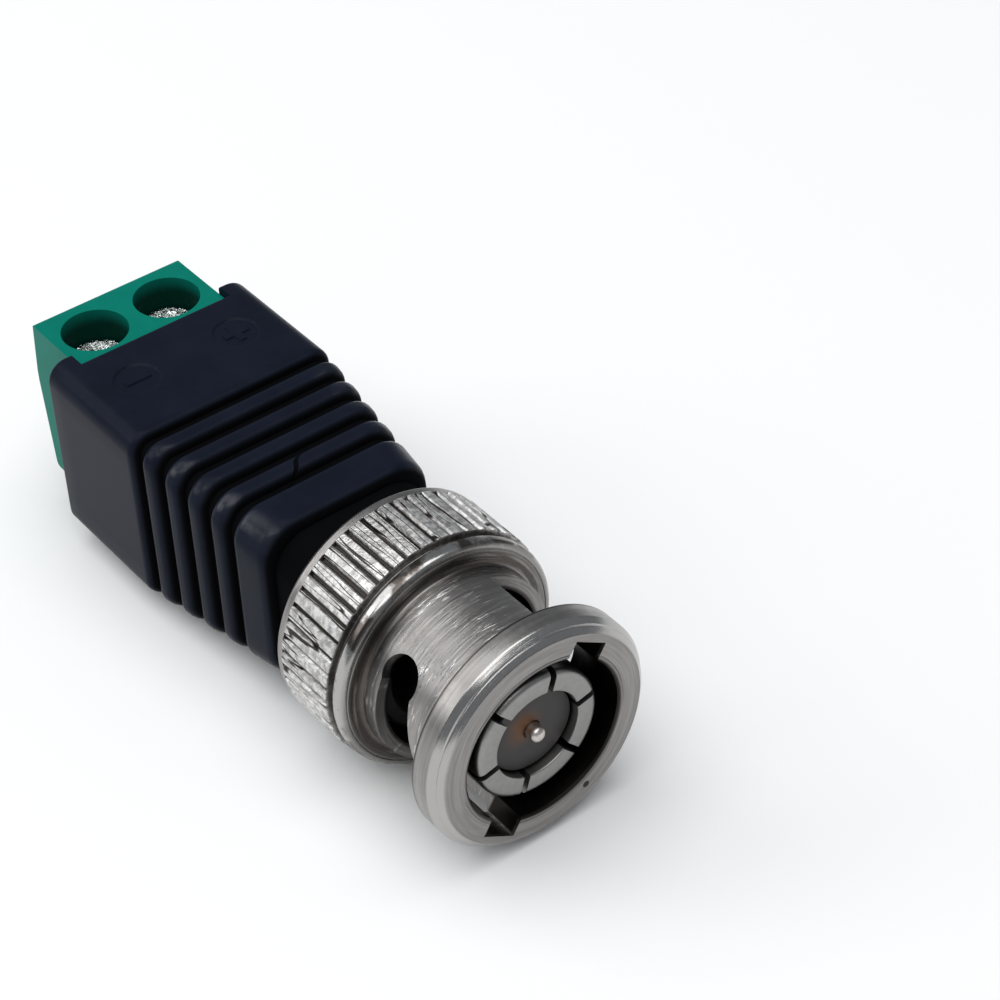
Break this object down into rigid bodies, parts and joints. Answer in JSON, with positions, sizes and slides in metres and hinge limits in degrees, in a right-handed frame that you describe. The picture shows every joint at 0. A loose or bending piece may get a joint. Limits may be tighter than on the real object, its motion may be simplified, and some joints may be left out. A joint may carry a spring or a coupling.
{
  "type": "bayonet coax plug with screw terminals",
  "caption": "Quarter-turn bayonet coaxial plug with a sprung knurled nut, a ribbed moulded boot and a screw terminal block, which joins a pair of plain wires to a coaxial socket.",
  "frame": {"origin": "under the middle of the whole length, at the level of the nut's lowest point", "axes": "+X along the plug's axis towards its mouth, +Z towards the side with the screw heads, +Y towards the positive pole"},
  "size_m": [0.043, 0.0148, 0.0148],
  "materials": {
    "nickel_nut": "nickel plate over brass, blasted ribs",
    "nickel_plate": "satin nickel plate over brass",
    "collar_plate": "matt pale plate over brass",
    "insulation": "matt dark moulding",
    "pin_metal": "plated brass",
    "seal_rubber": "matt",
    "spring_steel": "bright",
    "boot_plastic": "satin moulding",
    "block_plastic": "satin moulding",
    "screw_steel": "zinc plated",
    "cage_plate": "nickel plated",
    "tin_plate": "tin plated",
    "solder": "bright bead",
    "lead_red": "satin insulation",
    "lead_black": "satin insulation"
  },
  "bodies": {
    "plug": {"plug_body": "nickel_plate", "spring_collar": "collar_plate", "insulator": "insulation", "centre_pin": "pin_metal", "gasket": "seal_rubber", "wave_washer": "spring_steel", "retaining_ring": "spring_steel", "boot": "boot_plastic", "terminal_block": "block_plastic", "contact_plus": "tin_plate", "contact_minus": "tin_plate", "solder_plus": "solder", "solder_minus": "solder", "solder_pin": "solder", "solder_shell": "solder", "lead_signal": "lead_red", "lead_ground": "lead_black"},
    "washer": {"thrust_washer": "nickel_plate"},
    "nut": {"coupling_nut": "nickel_nut"},
    "clamp_screw_plus": {"screw_plus": "screw_steel"},
    "clamp_screw_minus": {"screw_minus": "screw_steel"},
    "clamp_cage_plus": {"cage_plus": "cage_plate"},
    "clamp_cage_minus": {"cage_minus": "cage_plate"}
  },
  "joints": [
    {"name": "nut_draw", "type": "slide", "parent": "plug", "child": "washer", "axis": [1, 0, 0], "range_m": [0, 0.0006], "stiffness_N_per_m": 5000, "springref_m": -0.001, "deforming": ["wave_washer"]},
    {"name": "nut_turn", "type": "hinge", "parent": "washer", "child": "nut", "pos_m": [0.00988, 0, 0.00738], "axis": [1, 0, 0], "continuous": true},
    {"name": "screw_plus_turn", "type": "hinge", "parent": "plug", "child": "clamp_screw_plus", "pos_m": [-0.01823, 0.00254, 0.00898], "axis": [0, 0, -1], "range_deg": [-990, 0]},
    {"name": "screw_minus_turn", "type": "hinge", "parent": "plug", "child": "clamp_screw_minus", "pos_m": [-0.01823, -0.00254, 0.00898], "axis": [0, 0, -1], "range_deg": [-990, 0]},
    {"name": "cage_plus_rise", "type": "slide", "parent": "plug", "child": "clamp_cage_plus", "axis": [0, 0, 1], "range_m": [-0.0011, 0]},
    {"name": "cage_minus_rise", "type": "slide", "parent": "plug", "child": "clamp_cage_minus", "axis": [0, 0, 1], "range_m": [-0.0011, 0]}
  ],
  "couplings": [
    {"joint": "screw_plus_turn", "follows": "cage_plus_rise", "rad_per_m": 15707},
    {"joint": "screw_minus_turn", "follows": "cage_minus_rise", "rad_per_m": 15707}
  ]
}
